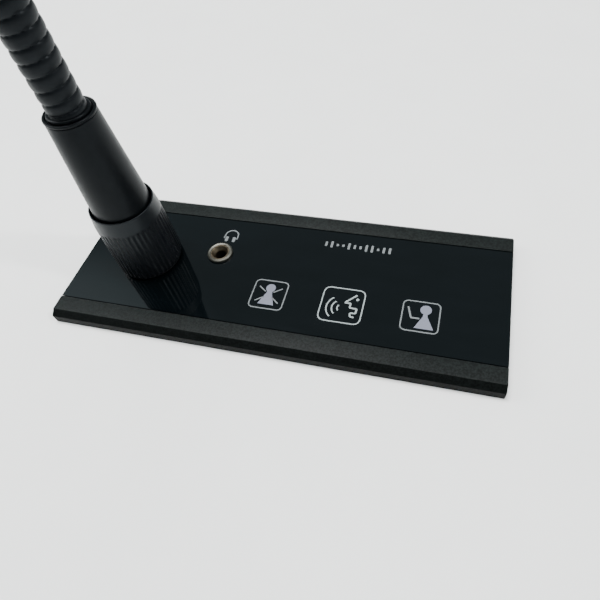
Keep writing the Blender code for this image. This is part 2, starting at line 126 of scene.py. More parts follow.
def grid_mesh(name, points, wrap_rows=True, wrap_columns=True, cap_ends=False, sharp_degrees=35):
    """A mesh from points[row, column]; cap_ends closes the first and the last column with a face."""
    rows, columns, _ = points.shape
    mesh = bpy.data.meshes.new(name)
    faces = grid_faces(rows, columns, wrap_rows, wrap_columns)
    mesh.from_pydata(points.reshape(-1, 3), [], faces)
    work = bmesh.new()
    work.from_mesh(mesh)
    if cap_ends:
        work.verts.ensure_lookup_table()
        for column, step in ((0, 1), (columns - 1, -1)):
            loop = [work.verts[row * columns + column] for row in range(rows)]
            work.faces.new(loop[::step])
        bmesh.ops.recalc_face_normals(work, faces=work.faces)
    finish_mesh(work, mesh, sharp_degrees)
    return mesh


# %% [markdown]
# Machined edges are never quite sharp: a small radius catches a line of light. The next helper takes
# the corners of an outline, each with its own radius, and puts an arc there. A profile is then a
# few corners and a few radii, and stays easy to read.

# %% Outlines with rounded corners, and turned pieces
def rounded(corners, steps=5, closed=True):
    """Replace each corner (x, y, radius) by an arc that touches both sides.

    The arc starts radius / tan(half the corner's angle) before the corner, and is drawn as a
    quadratic curve through the corner, which is close to a circle for a small radius."""
    count = len(corners)
    points = []
    for k, (x, y, radius) in enumerate(corners):
        here = np.array((x, y))
        if radius <= 0 or (not closed and k in (0, count - 1)):
            points.append(here)
            continue
        before = np.array(corners[k - 1][:2]) - here
        after = np.array(corners[(k + 1) % count][:2]) - here
        before_length, after_length = np.linalg.norm(before), np.linalg.norm(after)
        before, after = before / before_length, after / after_length
        half = math.acos(np.clip(before @ after, -1, 1)) / 2
        reach = min(radius / math.tan(half), 0.48 * before_length, 0.48 * after_length)
        t = np.linspace(0, 1, steps + 1)[:, None]
        start, end = here + before * reach, here + after * reach
        points.extend((1 - t) ** 2 * start + 2 * t * (1 - t) * here + t ** 2 * end)
    return np.array(points)


def place_points(points, centre, tilt):
    """Turn points about X by the tilt, then move them to the centre."""
    c, s = math.cos(tilt), math.sin(tilt)
    turn = np.array([[1, 0, 0], [0, c, -s], [0, s, c]])
    return points @ turn.T + np.array(centre)


def turned_points(profile, columns):
    """Points of a turned surface: x = r cos(angle), y = r sin(angle), z = height."""
    angle = np.arange(columns) * 2 * np.pi / columns
    radius, height = profile[:, :1], profile[:, 1:]
    return np.stack([radius * np.cos(angle), radius * np.sin(angle),
                     height + 0 * angle], axis=2)


TURN_COLUMNS = 96


def turned_mesh(name, profile, centre, tilt=0.0, ring=True):
    """A turned piece: a ring's profile is a closed loop, a solid's runs from pole to pole."""
    points = place_points(turned_points(profile, TURN_COLUMNS), centre, tilt)
    return grid_mesh(name, points, wrap_rows=ring)


# %% [markdown]
# Finishes come next. Each one is a small node group on a Principled shader. A helper makes the
# shader and its constant values; the others add noise on Object coordinates, which every piece
# shares because all of them sit at the origin.

# %% Node helpers
def new_material(name, colour, roughness, metallic=0.0, **sockets):
    """A Principled material; further sockets are set by their names with _ for spaces."""
    mat = bpy.data.materials.new(name)
    mat.use_nodes = True
    shader = mat.node_tree.nodes["Principled BSDF"]
    shader.inputs["Base Color"].default_value = (*colour, 1.0)
    shader.inputs["Roughness"].default_value = roughness
    shader.inputs["Metallic"].default_value = metallic
    for socket, value in sockets.items():
        shader.inputs[socket.replace("_", " ")].default_value = value
    return mat


def object_coordinates(mat, stretch=(1, 1, 1)):
    """Object coordinates through a Mapping node, stretched along the axes."""
    nodes, links = mat.node_tree.nodes, mat.node_tree.links
    source = nodes.new("ShaderNodeTexCoord")
    mapping = nodes.new("ShaderNodeMapping")
    mapping.inputs["Scale"].default_value = stretch
    links.new(source.outputs["Object"], mapping.inputs["Vector"])
    return mapping.outputs["Vector"]


NOISE_ROUGHNESS = 0.55


def noise(mat, per_metre, detail=3.0, stretch=(1, 1, 1)):
    """A noise field with so many features a metre."""
    node = mat.node_tree.nodes.new("ShaderNodeTexNoise")
    node.inputs["Scale"].default_value = per_metre
    node.inputs["Detail"].default_value = detail
    node.inputs["Roughness"].default_value = NOISE_ROUGHNESS
    mat.node_tree.links.new(object_coordinates(mat, stretch), node.inputs["Vector"])
    return node.outputs["Fac"]


def ramp(mat, factor, stops):
    """A colour ramp on a factor; stops are (place, colour)."""
    node = mat.node_tree.nodes.new("ShaderNodeValToRGB")
    elements = node.color_ramp.elements
    while len(elements) < len(stops):
        elements.new(0.5)
    for element, (place, colour) in zip(elements, stops):
        element.position = place
        element.color = (*colour, 1.0)
    mat.node_tree.links.new(factor, node.inputs["Fac"])
    return node.outputs["Color"]


def vary_colour(mat, factor, dark, light, low=0.3, high=0.7):
    """Base colour that wanders between two tones with the factor."""
    shader = mat.node_tree.nodes["Principled BSDF"]
    mat.node_tree.links.new(ramp(mat, factor, [(low, dark), (high, light)]),
                            shader.inputs["Base Color"])


def vary_roughness(mat, factor, smooth, rough):
    """Roughness that wanders between two values with the factor."""
    node = mat.node_tree.nodes.new("ShaderNodeMapRange")
    node.inputs["From Min"].default_value = 0.3
    node.inputs["From Max"].default_value = 0.7
    node.inputs["To Min"].default_value = smooth
    node.inputs["To Max"].default_value = rough
    mat.node_tree.links.new(factor, node.inputs["Value"])
    shader = mat.node_tree.nodes["Principled BSDF"]
    mat.node_tree.links.new(node.outputs["Result"], shader.inputs["Roughness"])


def add_bump(mat, factor, height):
    """A bump of the given height in metres."""
    node = mat.node_tree.nodes.new("ShaderNodeBump")
    node.inputs["Strength"].default_value = 1.0
    node.inputs["Distance"].default_value = height
    mat.node_tree.links.new(factor, node.inputs["Height"])
    shader = mat.node_tree.nodes["Principled BSDF"]
    mat.node_tree.links.new(node.outputs["Normal"], shader.inputs["Normal"])


# %% [markdown]
# The rails are blasted and anodised aluminium: nearly black with a green cast, matt, with a very
# fine grain. Their outer chamfer is painted darker and less shiny: painted shade. The panel is polished
# acrylic, printed black from behind, so it is a dark mirror with faint wiping marks. Sleeve and
# collar are satin black, smooth with a fine orange-peel; a cool blue cast in their colour is painted reflection.

# %% The main finishes
# Painted shade: the outer chamfer of the rails is made darker and less shiny than the other faces.
CHAMFER_SHADE_FROM = 25.1 * MM  # the painted shade on the chamfer begins this far from the middle of the plate
CHAMFER_SHADE_TONE = 0.42  # how dark the painted shade on the chamfer is, as a share of the blasted faces
ANODISED_SHINE = 0.13
COOL_SHEEN = (0.86, 0.95, 1.0, 1.0)
# A blue cast in the satin's base colour: painted reflection of the cool surroundings.
COOL_REFLECTION_TINT = np.array((0.84, 1.0, 1.24))


def chamfer_shade_share(mat):
    """1 on the blasted faces, less on the chamfer, where shade is painted: a step of the distance |y|."""
    nodes, links = mat.node_tree.nodes, mat.node_tree.links
    parts = nodes.new("ShaderNodeSeparateXYZ")
    links.new(object_coordinates(mat), parts.inputs["Vector"])
    distance = nodes.new("ShaderNodeMath")
    distance.operation = "ABSOLUTE"
    links.new(parts.outputs["Y"], distance.inputs[0])
    share = nodes.new("ShaderNodeMapRange")
    for socket, value in (("From Min", CHAMFER_SHADE_FROM), ("From Max", CHAMFER_SHADE_FROM + 0.1 * MM),
                          ("To Min", 1.0), ("To Max", CHAMFER_SHADE_TONE)):
        share.inputs[socket].default_value = value
    links.new(distance.outputs["Value"], share.inputs["Value"])
    return share.outputs["Result"]


def paint_chamfer_shade(mat, shine):
    """Paint shade on the chamfer: scale base colour and specular level by the shade share."""
    nodes, links = mat.node_tree.nodes, mat.node_tree.links
    shader = nodes["Principled BSDF"]
    share = chamfer_shade_share(mat)
    tone = nodes.new("ShaderNodeVectorMath")
    tone.operation = "SCALE"
    links.new(shader.inputs["Base Color"].links[0].from_socket, tone.inputs[0])
    links.new(share, tone.inputs["Scale"])
    links.new(tone.outputs["Vector"], shader.inputs["Base Color"])
    level = nodes.new("ShaderNodeMath")
    level.operation = "MULTIPLY"
    level.inputs[1].default_value = shine
    links.new(share, level.inputs[0])
    links.new(level.outputs["Value"], shader.inputs["Specular IOR Level"])


def make_anodised():
    """Blasted anodised aluminium, with grains of about a fifth of a millimetre."""
    mat = new_material("anodised", (0.006, 0.0080, 0.0075), 0.5, 0.0,
                       Specular_IOR_Level=ANODISED_SHINE)
    grain = noise(mat, 4200, detail=4.0)
    vary_colour(mat, noise(mat, 1900, detail=5.0), (0.0020, 0.0030, 0.0028),
                (0.0088, 0.0116, 0.0110), 0.38, 0.62)
    vary_roughness(mat, grain, 0.42, 0.60)
    add_bump(mat, grain, 0.05 * MM)
    # Painted shade: the outer chamfer is made darker and less shiny.
    paint_chamfer_shade(mat, ANODISED_SHINE)
    return mat


def make_gloss():
    """Polished acrylic over black: a clear gloss with the faintest haze of wiping."""
    mat = new_material("gloss_panel", (0.0010, 0.0020, 0.0026), 0.05, 0.0, IOR=1.49)
    haze = noise(mat, 60, detail=4.0, stretch=(1.0, 3.0, 1.0))
    vary_colour(mat, haze, (0.0008, 0.0017, 0.0022), (0.0013, 0.0024, 0.0031))
    vary_roughness(mat, haze, 0.025, 0.060)
    return mat


def make_satin(name, tone, shine, smooth, rough):
    """Satin black lacquer: an even dark tone with a painted cool reflection cast, a fine orange-peel and a little
    wear in the gloss.
    """
    mat = new_material(name, (tone, tone, tone), smooth, 0.0, Specular_IOR_Level=shine,
                       Specular_Tint=COOL_SHEEN)
    # Painted reflection: the base colour gets a cool blue cast.
    painted_cool = COOL_REFLECTION_TINT * tone
    vary_colour(mat, noise(mat, 260, detail=3.0), tuple(painted_cool * 0.85), tuple(painted_cool * 1.15))
    vary_roughness(mat, noise(mat, 420, detail=4.0), smooth, rough)
    add_bump(mat, noise(mat, 5200, detail=2.0), 0.012 * MM)
    return mat


def make_metal(name, colour, smooth, rough, per_metre=900, stretch=(1, 1, 1)):
    """Bright metal whose roughness and tone wander a little, as on turned and plated parts."""
    mat = new_material(name, colour, smooth, 1.0)
    field = noise(mat, per_metre, detail=4.0, stretch=stretch)
    dark = tuple(c * 0.86 for c in colour)
    vary_colour(mat, field, dark, colour)
    vary_roughness(mat, field, smooth, rough)
    return mat


def make_moulded(name, colour, smooth, rough, per_metre=1200):
    """Moulded plastic or coated board: a fine grain in tone, gloss and surface."""
    mat = new_material(name, colour, smooth, 0.0)
    field = noise(mat, per_metre, detail=4.0)
    vary_colour(mat, field, tuple(c * 0.8 for c in colour), tuple(min(1, c * 1.15) for c in colour))
    vary_roughness(mat, field, smooth, rough)
    add_bump(mat, field, 0.02 * MM)
    return mat


anodised = make_anodised()
gloss = make_gloss()
satin = make_satin("satin_black", 0.0036, 0.10, 0.30, 0.40)
collar_satin = make_satin("collar_satin", 0.0056, 0.20, 0.30, 0.40)
neck_skin = make_satin("flex_neck", 0.0048, 0.13, 0.34, 0.46)
stem_paint = make_satin("stem", 0.0035, 0.10, 0.30, 0.40)
nickel = make_metal("nickel", (0.125, 0.121, 0.104), 0.38, 0.55, 2200)
brass = make_metal("brass", (0.11, 0.090, 0.062), 0.34, 0.52, 2200)
steel = make_metal("steel", (0.52, 0.53, 0.54), 0.28, 0.45, 700, (1, 1, 6))
plating = make_metal("plating", (0.36, 0.35, 0.32), 0.28, 0.44, 900)
tub_steel = make_moulded("tub_steel", (0.085, 0.087, 0.092), 0.42, 0.62, 1600)
port_shell = make_metal("port_shell", (0.60, 0.61, 0.62), 0.25, 0.40, 500)
circuit_board = make_moulded("circuit_board", (0.015, 0.10, 0.045), 0.35, 0.50)
insulator = make_moulded("insulator", (0.025, 0.025, 0.025), 0.45, 0.60)
light_guide = make_moulded("light_guide", (0.72, 0.74, 0.80), 0.25, 0.40)
print(len(bpy.data.materials), "materials")

# %% [markdown]
# Nodes that already have the right shape keep it, and only get their finish: the flat panel, the
# deck, and everything that hangs below the table.

# %% Finishes of the nodes that stay
kept_finishes = {
    gloss: ["top_panel"],
    anodised: ["deck_plate"],
    tub_steel: ["tub", "bottom_cover", "left_clamp_arm", "right_clamp_arm"],
    steel: ["left_clamp_screw", "right_clamp_screw", "left_clamp_nut", "right_clamp_nut",
            "slip_washer", "capsule"] + [f"cover_screw_{i}" for i in range(1, 5)],
    port_shell: ["network_port_1", "network_port_2"],
    circuit_board: ["main_board", "touch_board"],
    insulator: ["socket_insert", "plug_insert"],
    light_guide: [f"key_light_guide_{i}" for i in range(1, 4)],
    plating: ["plug_shell"],
    brass: [f"contact_pin_{i}" for i in range(1, 4)],
}
for material, names in kept_finishes.items():
    for name in names:
        data = frame["nodes"][name].data
        data.materials.clear()
        data.materials.append(material)
print(sum(len(names) for names in kept_finishes.values()), "nodes keep their shape")

# %% [markdown]
# The table is only the stage: a pale sheet with the cut-out that the tub hangs in. The plate covers
# the edge of the cut-out, so a square ring of four strips is enough.

# %% Stage: the table round the cut-out
TABLE_REACH = 3.0
CUT_HALF = (64 * MM, 23 * MM)
TABLE_TOP = -0.02 * MM  # just under the rails, so that the two never share a plane


def ring_points():
    """Corners of the cut-out and of the table's edge, as two rows of four points."""
    signs = np.array([(-1, -1), (1, -1), (1, 1), (-1, 1)], float)
    inner = np.column_stack([signs * CUT_HALF, np.full(4, TABLE_TOP)])
    outer = np.column_stack([signs * TABLE_REACH, np.full(4, TABLE_TOP)])
    return np.stack([outer, inner])


table_mesh = bpy.data.meshes.new("table")
table_mesh.from_pydata(ring_points().reshape(-1, 3), [], grid_faces(2, 4, False, True))
table_white = new_material("table_white", (0.94, 0.945, 0.93), 0.6)
vary_colour(table_white, noise(table_white, 35, detail=6.0), (0.925, 0.93, 0.915),
            (0.955, 0.96, 0.945))
table_mesh.materials.append(table_white)
table = bpy.data.objects.new("table", table_mesh)
bpy.context.scene.collection.objects.link(table)
print("table faces", len(table_mesh.polygons))

# %% [markdown]
# Light: a large soft lamp overhead, softer ones to the right and to the left, and a small one far to
# the right that throws the neck's faint shadow to the left. The surround stays dim, because the
# panel mirrors it and has to look nearly black; one brighter patch high on the left gives the haze
# on the panel's left end.

# %% Light
def aim(obj, target):
    """Turn a lamp so that it shines from its place at the target."""
    direction = np.array(target) - np.array(obj.location)
    flat = math.hypot(direction[0], direction[1])
    obj.rotation_euler = (math.atan2(flat, -direction[2]), 0,
                          math.atan2(direction[1], direction[0]) - math.pi / 2)


PATCH_EDGE, PATCH_CORE = 0.955, 0.99  # cosines: where the brighter patch begins, where it is full


def soft_lamp(name, place, size, watts):
    """A square area lamp that faces the plate."""
    data = bpy.data.lights.new(name, "AREA")
    data.size = size
    data.energy = watts
    lamp = bpy.data.objects.new(name, data)
    lamp.location = place
    bpy.context.scene.collection.objects.link(lamp)
    aim(lamp, (0, 0, 0))


def make_surround(level, tint, patch_way, patch_level):
    """An even surround with one soft brighter patch: level + patch * smoothstep(way . patch way)."""
    world = bpy.data.worlds.new("studio")
    bpy.context.scene.world = world
    world.use_nodes = True
    nodes, links = world.node_tree.nodes, world.node_tree.links
    way = nodes.new("ShaderNodeTexCoord").outputs["Generated"]
    along = nodes.new("ShaderNodeVectorMath")
    along.operation = "DOT_PRODUCT"
    along.inputs[1].default_value = patch_way
    links.new(way, along.inputs[0])
    soft = nodes.new("ShaderNodeMapRange")
    soft.interpolation_type = "SMOOTHSTEP"
    for socket, value in (("From Min", PATCH_EDGE), ("From Max", PATCH_CORE), ("To Min", level),
                          ("To Max", level + patch_level)):
        soft.inputs[socket].default_value = value
    links.new(along.outputs["Value"], soft.inputs["Value"])
    links.new(soft.outputs["Result"], nodes["Background"].inputs["Strength"])
    nodes["Background"].inputs["Color"].default_value = (*tint, 1.0)


make_surround(0.30, (0.80, 0.96, 1.0), (-0.596, 0.241, 0.766), 0.60)
soft_lamp("lamp_top", (-0.25, 0.20, 1.50), 0.8, 44)
soft_lamp("lamp_right", (1.15, 0.45, 1.05), 0.9, 5)
soft_lamp("lamp_left", (-1.35, 0.05, 0.85), 0.8, 13)
soft_lamp("lamp_far_right", (1.05, 0.02, 1.10), 0.09, 10)
print(len(bpy.data.lights), "lamps")

# %% [markdown]
# The two rails are one extrusion, cut twice. An extrusion is a section carried along a straight
# line, so its grid has the section's points as rows and the places along the plate as columns. The
# corners get small radii, because a sharp corner would never catch the light as the real one does.

# %% Rails
PLATE_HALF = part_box("front_rail")[1].x
RAIL_OUT = -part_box("front_rail")[0].y
RAIL_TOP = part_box("front_rail")[1].z
PANEL_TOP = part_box("top_panel")[1].z


RAIL_WIDTH, RAIL_LIP, RAIL_SEAT = 6.9, 11.0, 4.7  # the section's widths, from the outside in
LIP_LOW, LIP_HIGH = 0.3, 1.95
CHAMFER_OUT, CHAMFER_DOWN = 1.9, 1.5


def rail_section():
    """The rail's outline as (distance from the middle, height), with rounded corners."""
    out, top = RAIL_OUT / MM, RAIL_TOP / MM
    corners = [
        (out, 0, 0.15), (out, top - CHAMFER_DOWN, 0.25), (out - CHAMFER_OUT, top, 0.25),
        (out - RAIL_WIDTH, top, 0.15), (out - RAIL_WIDTH, LIP_HIGH, 0),
        (out - RAIL_LIP, LIP_HIGH, 0), (out - RAIL_LIP, LIP_LOW, 0),
        (out - RAIL_SEAT, LIP_LOW, 0), (out - RAIL_SEAT, 0, 0),
    ]
    return rounded(corners, steps=4) * MM


def rail_points(side):
    """The section carried along X; the last bit at each end is drawn in a little, as a broken edge."""
    section = rail_section()
    middle = section.mean(axis=0)
    edge = 0.12 * MM
    places = np.array([-PLATE_HALF, -PLATE_HALF + edge, PLATE_HALF - edge, PLATE_HALF])
    inset = np.array([edge, 0, 0, edge])
    away = (section - middle) / np.linalg.norm(section - middle, axis=1, keepdims=True)
    outline = section[:, None, :] - away[:, None, :] * inset[None, :, None]
    x = np.broadcast_to(places, outline.shape[:2])
    return np.stack([x, side * outline[..., 0], outline[..., 1]], axis=2)


for side, name in ((-1, "front_rail"), (1, "rear_rail")):
    rail_mesh = grid_mesh(name + "_extrusion", rail_points(side), True, False, cap_ends=True)
    add_piece(name + "_extrusion", rail_mesh, anodised, "base", [name])
print("rails", round(2 * PLATE_HALF / MM, 1), "mm long")

# %% [markdown]
# The headphone jack is two turned pieces: a bright nickel ring nut on the panel, and inside it the
# barrel, whose mouth is a shallow funnel that leads the plug in. Both are closed loops turned round
# the jack's axis.

# %% Headphone jack
JACK = (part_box("jack_ring")[0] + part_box("jack_ring")[1]) / 2
JACK_AXIS = (JACK.x, JACK.y, 0)
top = PANEL_TOP / MM
ring_nut = rounded([
    (3.02, top + 0.02, 0), (3.02, top + 0.85, 0.1), (3.55, top + 1.05, 0.15),
    (4.1, top + 0.75, 0.3), (4.1, top + 0.02, 0),
]) * MM
barrel = rounded([
    (1.8, -11.5, 0), (1.8, top - 0.5, 0.15), (2.7, top + 0.75, 0.1), (2.98, top + 0.75, 0.08),
    (2.98, -0.4, 0), (5.4, -0.4, 0.2), (5.4, -11.5, 0.2),
]) * MM
add_piece("jack_ring_nut", turned_mesh("jack_ring_nut", ring_nut, JACK_AXIS), nickel, "base",
          ["jack_ring"])
add_piece("jack_barrel", turned_mesh("jack_barrel", barrel, JACK_AXIS), brass, "base",
          ["jack_body"])
print("jack at", round(JACK.x / MM, 2), round(JACK.y / MM, 2))

# %% [markdown]
# The locking collar is turned first and fluted after. Its surface is a turned profile whose radius
# is reduced where a flute runs. A flute is a shallow scallop: across it the depth falls off with the
# square of the distance from its middle, and its upper end is a half circle, as a ball cutter leaves
# it. With twelve columns to a flute the scallops stay round.

# %% Locking collar
FLUTES = 44
FLUTE_COLUMNS = 12
FLUTE_DEPTH = 0.24
FLUTE_HALF = 0.80  # half width of the scallop, as a share of half the pitch
FLUTE_TOP = 4.7  # how far below the rim a scallop ends
FLUTE_ARCH = 0.8  # the height of its half-circle end
FADE_TOP, FADE_BOTTOM = 1.3, 0.9  # the lengths over which it reaches its depth
collar_low, collar_high = [corner.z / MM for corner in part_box("locking_collar")]
MIC_AXIS = ((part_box("locking_collar")[0].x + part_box("locking_collar")[1].x) / 2, 0, 0)


def subdivided(profile, longest):
    """The same closed outline, with points added so that no side is longer than this."""
    ends = np.roll(profile, -1, axis=0)
    lengths = np.linalg.norm(ends - profile, axis=1)
    pieces = []
    for start, end, length in zip(profile, ends, lengths):
        count = max(1, math.ceil(length / longest))
        t = np.arange(count)[:, None] / count
        pieces.append(start + (end - start) * t)
    return np.concatenate(pieces)


def collar_profile():
    """The collar's closed outline in mm: thin rim, flared band, fluted skirt, stepped bore."""
    low, high = collar_low, collar_high
    corners = [
        (9.02, high, 0.08), (9.38, high, 0.16), (9.95, high - 4.4, 0.9), (10.0, high - 5.2, 0.6),
        (10.3, low + 1.3, 1.2), (9.72, low, 0.7), (9.4, low, 0), (9.4, 6.6, 0), (8.4, 6.6, 0),
        (8.4, 13.4, 0), (8.95, 13.4, 0), (8.95, 19.4, 0), (8.0, 19.4, 0), (8.0, 20.4, 0),
        (9.02, 20.9, 0),
    ]
    return subdivided(rounded(corners, steps=6), 0.45)


def collar_points():
    """r = profile radius - depth * scallop(angle) * end(height, angle), in mm."""
    profile = collar_profile()
    points = turned_points(profile, FLUTES * FLUTE_COLUMNS)
    radius, height = profile[:, :1], profile[:, 1:]
    angle = np.arange(FLUTES * FLUTE_COLUMNS) * 2 * np.pi / (FLUTES * FLUTE_COLUMNS)
    phase = (angle * FLUTES / np.pi) % 2 - 1
    across = np.clip(1 - (phase / FLUTE_HALF) ** 2, 0, 1)
    end = collar_high - FLUTE_TOP - FLUTE_ARCH * (1 - np.sqrt(across))
    upper = np.clip((end - height) / FADE_TOP, 0, 1)
    lower = np.clip((height - collar_low - 0.4) / FADE_BOTTOM, 0, 1)
    outside = radius > 9.5
    depth = FLUTE_DEPTH * across * upper * (2 - upper) * lower * outside
    shrink = 1 - depth / radius
    points[..., :2] *= shrink[..., None]
    return place_points(points * MM, MIC_AXIS, 0)


collar_mesh = grid_mesh("fluted_collar", collar_points(), sharp_degrees=50)
add_piece("fluted_collar", collar_mesh, collar_satin, "collar", ["locking_collar"])
print("collar", len(collar_mesh.polygons), "faces")

# %% [markdown]
# Under the collar hides the socket that it screws on to, which shows once the plug is lifted out.
# Its thread is one groove that winds round the shell: the groove's depth is a triangle wave of
# height / pitch - angle / one turn, and it fades out over half a pitch at both ends. The pitch is
# what the collar climbs in one turn. A plain ring nut holds the shell in the panel.

# %% Threaded socket and its ring nut
SOCKET_COLUMNS = 144
THREAD_DEPTH = 0.6
THREAD_LOW, THREAD_HIGH = 6.8, 12.6
climb = next(c for c in frame["record"]["behaviour"]["couplings"] if c["joint"] == "collar_climb")
THREAD_PITCH = climb["ratio"] * 2 * math.pi / MM


def socket_points():
    """r = profile radius - depth * triangle(height / pitch - angle / one turn) * fade(height)."""
    thread = [(8.0, height) for height in np.linspace(THREAD_HIGH, THREAD_LOW, 72)]
    profile = np.array([(7.0, 12.85), (7.15, 13.0), (7.75, 13.0)] + thread + [
        (8.0, -0.3), (8.9, -0.3), (8.9, -2.3), (8.0, -2.3), (8.0, -9.0), (7.0, -9.0),
    ])
    points = turned_points(profile, SOCKET_COLUMNS)
    height = profile[:, 1:]
    turn = np.arange(SOCKET_COLUMNS) / SOCKET_COLUMNS
    groove = np.abs(2 * ((height / THREAD_PITCH - turn) % 1) - 1)
    fade_in = np.clip((height - THREAD_LOW) * 2 / THREAD_PITCH, 0, 1)
    fade_out = np.clip((THREAD_HIGH - height) * 2 / THREAD_PITCH, 0, 1)
    depth = THREAD_DEPTH * groove * fade_in * fade_out
    points[..., :2] *= (1 - depth / profile[:, :1])[..., None]
    return place_points(points * MM, MIC_AXIS, 0)


socket_mesh = grid_mesh("threaded_socket", socket_points())
add_piece("threaded_socket", socket_mesh, plating, "base", ["socket_shell"])
nut_low, nut_high = [corner.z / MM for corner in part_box("socket_ring_nut")]
socket_nut_profile = rounded([
    (8.3, nut_low, 0), (9.1, nut_low, 0.1), (9.1, nut_high, 0.3), (8.3, nut_high, 0.1),
]) * MM
add_piece("socket_nut", turned_mesh("socket_nut", socket_nut_profile, MIC_AXIS), plating, "base",
          ["socket_ring_nut"])
print("socket thread", round(THREAD_PITCH, 2), "mm a turn,", len(socket_mesh.polygons), "faces")

# %% [markdown]
# The sleeve tapers evenly from the collar to its mouth, where a round bead closes it. Between bead
# and sleeve runs a hair-thin dark line, and inside the bead the neck stands on a small ring in a
# recess. These are plain turned pieces.

# %% Sleeve, bead and neck ring
sleeve_profile = rounded([
    (5.75, 56.3, 0), (6.5, 56.3, 0.12), (8.5, 27.0, 3.0), (8.5, 24.9, 0.2), (7.7, 24.5, 0.1),
    (7.7, 18.6, 0), (5.75, 18.6, 0),
]) * MM
bead_profile = rounded([
    (5.6, 55.6, 0), (6.2, 55.6, 0), (6.2, 56.45, 0), (6.6, 56.45, 0.25), (6.62, 57.2, 0.5),
    (5.95, 57.2, 0.3), (5.8, 56.75, 0.15), (5.6, 56.7, 0),
]) * MM
neck_ring_profile = rounded([
    (4.0, 25.0, 0), (5.5, 25.0, 0), (5.5, 57.75, 0.5),
    (4.0, 57.75, 0),
]) * MM
add_piece("tapered_sleeve", turned_mesh("tapered_sleeve", sleeve_profile, MIC_AXIS), satin, "plug",
          ["sleeve"])
add_piece("mouth_bead", turned_mesh("mouth_bead", bead_profile, MIC_AXIS), satin, "plug",
          ["sleeve_bead"])
add_piece("neck_ring", turned_mesh("neck_ring", neck_ring_profile, MIC_AXIS), satin, "plug",
          ["neck_ferrule"])

# %% [markdown]
# The flexible neck is a spiral-wound tube: one ridge that climbs round it like a screw thread, 3 mm
# a turn. In the model short links stand for it, so its skin is made of one piece for each joint,
# from the middle of one link to the middle of the next, and each piece bends across its joint. The
# pieces meet where nothing bends, so no seam shows.
# The ridge's phase is length / pitch - angle / one turn, and the radius follows a flattened bump of
# that phase, with a narrow valley between the turns.

# %% The places of the neck's joints
LINK = 15 * MM
PITCH = 3 * MM
RIDGE_R, VALLEY_R, SKIN_INSIDE_R = 4.80 * MM, 4.33 * MM, 3.6 * MM
RIDGE_POWER = 2.2  # above 2 the bump is flatter than a circle
RIDGE_START = 0.5  # phase of the winding at the sleeve's mouth, in turns
NECK_JOINTS = [f"{zone}_{kind}_{i}" for zone in ("lower", "upper") for i in (1, 2, 3)
               for kind in ("bend", "sway")]


def neck_tilts():
    """The tilt about X of the piece above each joint: a sway axis tells that of the piece below."""
    tilts = []
    centres = [np.array(joints[name]["pos_m"]) for name in NECK_JOINTS]
    for here, after in zip(centres, centres[1:]):
        step = after - here
        tilts.append(math.atan2(-step[1], step[2]))
    pull = joints["windscreen_pull"]["axis"]
    tilts.append(math.atan2(-pull[1], pull[2]))
    return centres, tilts


centres, tilts = neck_tilts()
HEAD_CENTRE, HEAD_TILT = centres[-1], tilts[-1]
print("neck tilts", [round(math.degrees(t)) for t in tilts])

# %% The skin of one joint
SKIN_COLUMNS = 72
ROWS_A_TURN = 16
MOUTH_REACH = 5.5 * MM  # how far the first skin reaches down into the sleeve's mouth
FERRULE_REACH = 3 * MM  # how far a skin reaches into a ferrule
BLEND, BLEND_MOUTH, BLEND_FERRULE = 6.5 * MM, 3.4 * MM, 0.8 * MM  # half the bent stretch


def direction(tilt):
    """The unit vector along a piece that is tilted about X towards the speaker."""
    return np.array([0, -math.sin(tilt), math.cos(tilt)])


def ridge_radius(phase):
    """Radius at a phase of the winding: a flattened bump between narrow valleys."""
    across = np.abs(2 * (phase % 1) - 1)
    bump = (1 - across ** RIDGE_POWER) ** (1 / RIDGE_POWER)
    return VALLEY_R + (RIDGE_R - VALLEY_R) * bump


def skin_points(centre, tilt_below, tilt_above, before, after, length_here):
    """A tube along the curve start, joint, end (a quadratic curve), inside and out.

    p(t) = (1-t)^2 start + 2t(1-t) centre + t^2 end; each ring of points lies across p'(t)."""
    rows = int(round((before + after) / PITCH * ROWS_A_TURN)) + 1
    start = centre - direction(tilt_below) * before
    end = centre + direction(tilt_above) * after
    t = np.linspace(0, 1, rows)[:, None]
    path = (1 - t) ** 2 * start + 2 * t * (1 - t) * centre + t ** 2 * end
    slope = (1 - t) * (centre - start) + t * (end - centre)
    tilt = np.arctan2(-slope[:, 1], slope[:, 2])
    angle = np.arange(SKIN_COLUMNS) * 2 * np.pi / SKIN_COLUMNS
    length = length_here - before + (before + after) * t
    radius = ridge_radius(length / PITCH - angle / (2 * np.pi) - RIDGE_START)
    radius = np.concatenate([radius, np.full((2, SKIN_COLUMNS), SKIN_INSIDE_R)])
    path = np.concatenate([path, path[[-1, 0]]])
    tilt = np.concatenate([tilt, tilt[[-1, 0]]])[:, None]
    x, y = radius * np.cos(angle), radius * np.sin(angle)
    return path[:, None, :] + np.stack([x, y * np.cos(tilt), y * np.sin(tilt)], axis=2)


